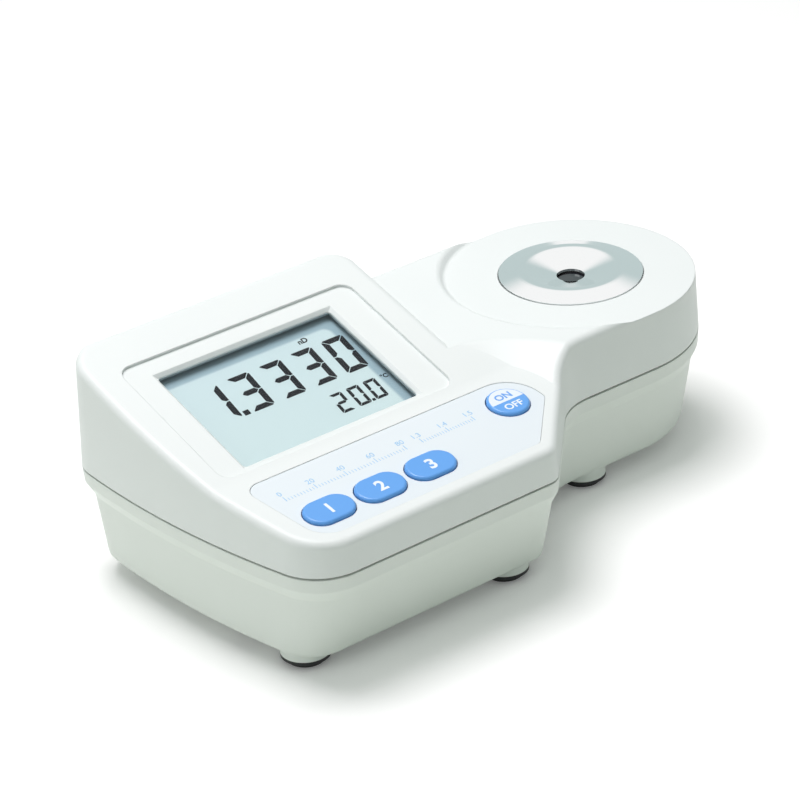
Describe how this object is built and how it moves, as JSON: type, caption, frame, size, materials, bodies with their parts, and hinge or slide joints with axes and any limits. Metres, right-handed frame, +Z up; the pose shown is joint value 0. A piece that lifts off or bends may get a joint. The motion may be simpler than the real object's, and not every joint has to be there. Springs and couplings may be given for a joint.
{
  "type": "digital refractometer",
  "caption": "Bench refractometer with a sloped display and keypad block and a round lobe that holds a steel sample well over a prism.",
  "frame": {"origin": "middle of the footprint, on the surface that the rubber feet stand on", "axes": "+X to the user's right towards the lobe, +Y away from the user, +Z up"},
  "size_m": [0.192, 0.104, 0.0677],
  "materials": {
    "shell_white": "satin moulded white",
    "case_white": "satin moulded white",
    "seal_olive": "soft seal",
    "clear_pane": "clear acrylic",
    "seal_grey": "soft seal",
    "lcd": "grey-green LCD with dark digits",
    "inner_plastic": "plain moulded",
    "zebra": "layered elastomer",
    "board_green": "solder mask",
    "sheet_pale": "pale printed film",
    "key_blue": "satin blue keys",
    "key_two_tone": "half white, half blue",
    "dome_steel": "sprung steel",
    "ribbon": "flat flex",
    "ring_steel": "polished stainless steel",
    "nut_brass": "turned",
    "prism_glass": "dark optical glass",
    "optics_alu": "black anodised",
    "led_clear": "amber LED",
    "lens_glass": "optical glass",
    "chip_black": "moulded package",
    "screw_steel": "zinc plated",
    "battery_wrap": "plain dark wrap",
    "lead_red_black": "insulated leads",
    "foam": "foam",
    "foot_rubber": "black rubber"
  },
  "bodies": {
    "housing": {"top_cover": "shell_white", "bottom_case": "case_white", "housing_gasket": "seal_olive", "display_window": "clear_pane", "window_gasket": "seal_grey", "lcd_glass": "lcd", "lcd_holder": "inner_plastic", "zebra_strips": "zebra", "lcd_board": "board_green", "keypad_overlay": "sheet_pale", "snap_domes": "dome_steel", "keypad_board": "board_green", "keypad_ribbon": "ribbon", "sample_well": "ring_steel", "well_seal": "seal_grey", "well_nut": "nut_brass", "prism": "prism_glass", "prism_seal": "seal_grey", "optical_block": "optics_alu", "light_source": "led_clear", "focus_lens": "lens_glass", "image_sensor": "chip_black", "sensor_board": "board_green", "temperature_sensor": "chip_black", "optics_screws": "screw_steel", "main_board": "board_green", "microcontroller": "chip_black", "board_parts": "chip_black", "board_screws": "screw_steel", "battery": "battery_wrap", "battery_snap": "chip_black", "battery_leads": "lead_red_black", "case_screws": "screw_steel", "foot_front_left": "foot_rubber", "foot_front_right": "foot_rubber", "foot_rear_left": "foot_rubber", "foot_lobe_front": "foot_rubber", "foot_lobe_rear": "foot_rubber"},
    "key_left": {"key_left": "key_blue"},
    "key_middle": {"key_middle": "key_blue"},
    "key_right": {"key_right": "key_blue"},
    "key_power": {"key_power": "key_two_tone"},
    "battery_cover": {"battery_cover": "case_white", "battery_cover_seal": "seal_grey", "battery_pad": "foam"}
  },
  "joints": [
    {"name": "key_left_press", "type": "slide", "parent": "housing", "child": "key_left", "axis": [0, -0.1495, 0.9888], "range_m": [-0.0006, 0], "stiffness_N_per_m": 800},
    {"name": "key_middle_press", "type": "slide", "parent": "housing", "child": "key_middle", "axis": [0, -0.1495, 0.9888], "range_m": [-0.0006, 0], "stiffness_N_per_m": 800},
    {"name": "key_right_press", "type": "slide", "parent": "housing", "child": "key_right", "axis": [0, -0.1495, 0.9888], "range_m": [-0.0006, 0], "stiffness_N_per_m": 800},
    {"name": "key_power_press", "type": "slide", "parent": "housing", "child": "key_power", "axis": [0, -0.1495, 0.9888], "range_m": [-0.0006, 0], "stiffness_N_per_m": 800},
    {"name": "battery_cover_turn", "type": "hinge", "parent": "housing", "child": "battery_cover", "pos_m": [-0.044, 0.006, 0.0046], "axis": [0, 0, -1], "range_deg": [0, 45]}
  ]
}
